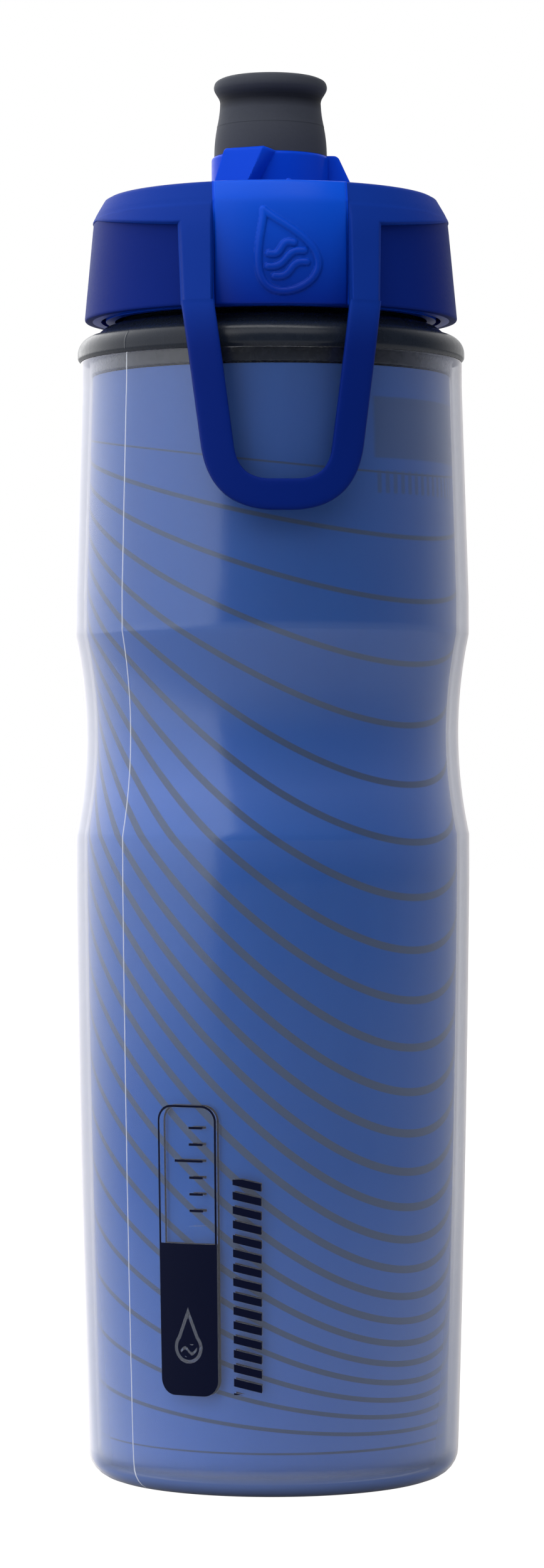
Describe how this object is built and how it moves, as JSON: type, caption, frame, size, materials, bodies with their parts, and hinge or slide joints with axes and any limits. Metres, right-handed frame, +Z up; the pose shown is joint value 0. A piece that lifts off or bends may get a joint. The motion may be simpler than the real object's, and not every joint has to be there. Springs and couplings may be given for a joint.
{
  "type": "water bottle",
  "caption": "Insulated squeeze bottle with a frosted waisted shell over a striped sleeve, a threaded liner, a screw lid, a twist-lock spout and a soft finger loop.",
  "frame": {"origin": "where the bottle's axis meets the surface it stands on, in the plane of the standing ring", "axes": "+Z up the bottle's axis; -Y to the front, where the lid's panel and the carry loop are; +X to the right seen from the front"},
  "size_m": [0.074, 0.0775, 0.2619],
  "materials": {
    "frosted_shell": "frosted translucent soft polyethylene, fine even haze",
    "printed_foil": "satin blue printed foil with thin grey wavy stripes",
    "dark_liner": "satin charcoal polyethylene",
    "gloss_blue": "smooth bright blue polypropylene",
    "soft_blue": "matte blue soft-touch elastomer, fine spark texture",
    "soft_grey": "matte charcoal elastomer with a fine grain",
    "seal_rubber": "smooth pale silicone",
    "white_plastic": "smooth natural acetal",
    "clear_silicone": "translucent grey silicone, cross-slit"
  },
  "bodies": {
    "bottle": {"outer_shell": "frosted_shell", "insulation_sleeve": "printed_foil", "inner_bottle": "dark_liner"},
    "seal": {"lid_gasket": "seal_rubber"},
    "lid": {"lid_shell": "gloss_blue", "grip_band": "soft_blue", "port_gasket": "seal_rubber", "collar_o_ring": "seal_rubber", "retaining_ring": "white_plastic"},
    "collar": {"twist_collar": "gloss_blue", "shutter_disc": "white_plastic", "spout": "soft_grey", "spout_valve": "clear_silicone"},
    "loop": {"carry_loop": "soft_blue"}
  },
  "joints": [
    {"name": "lid_lift", "type": "slide", "parent": "bottle", "child": "seal", "axis": [0, 0, 1], "range_m": [0, 0.0601]},
    {"name": "lid_turn", "type": "hinge", "parent": "seal", "child": "lid", "pos_m": [0, 0, 0.216], "axis": [0, 0, 1], "range_deg": [0, 3600]},
    {"name": "collar_turn", "type": "hinge", "parent": "lid", "child": "collar", "pos_m": [0, 0, 0.2428], "axis": [0, 0, 1], "range_deg": [0, 60]},
    {"name": "loop_flex", "type": "hinge", "parent": "lid", "child": "loop", "pos_m": [0, -0.03749, 0.2157], "axis": [-1, 0, 0], "range_deg": [0, 60], "stiffness_Nm_per_rad": 0.02}
  ],
  "couplings": [
    {"joint": "lid_lift", "follows": "lid_turn", "m_per_rad": 0.00095493}
  ]
}
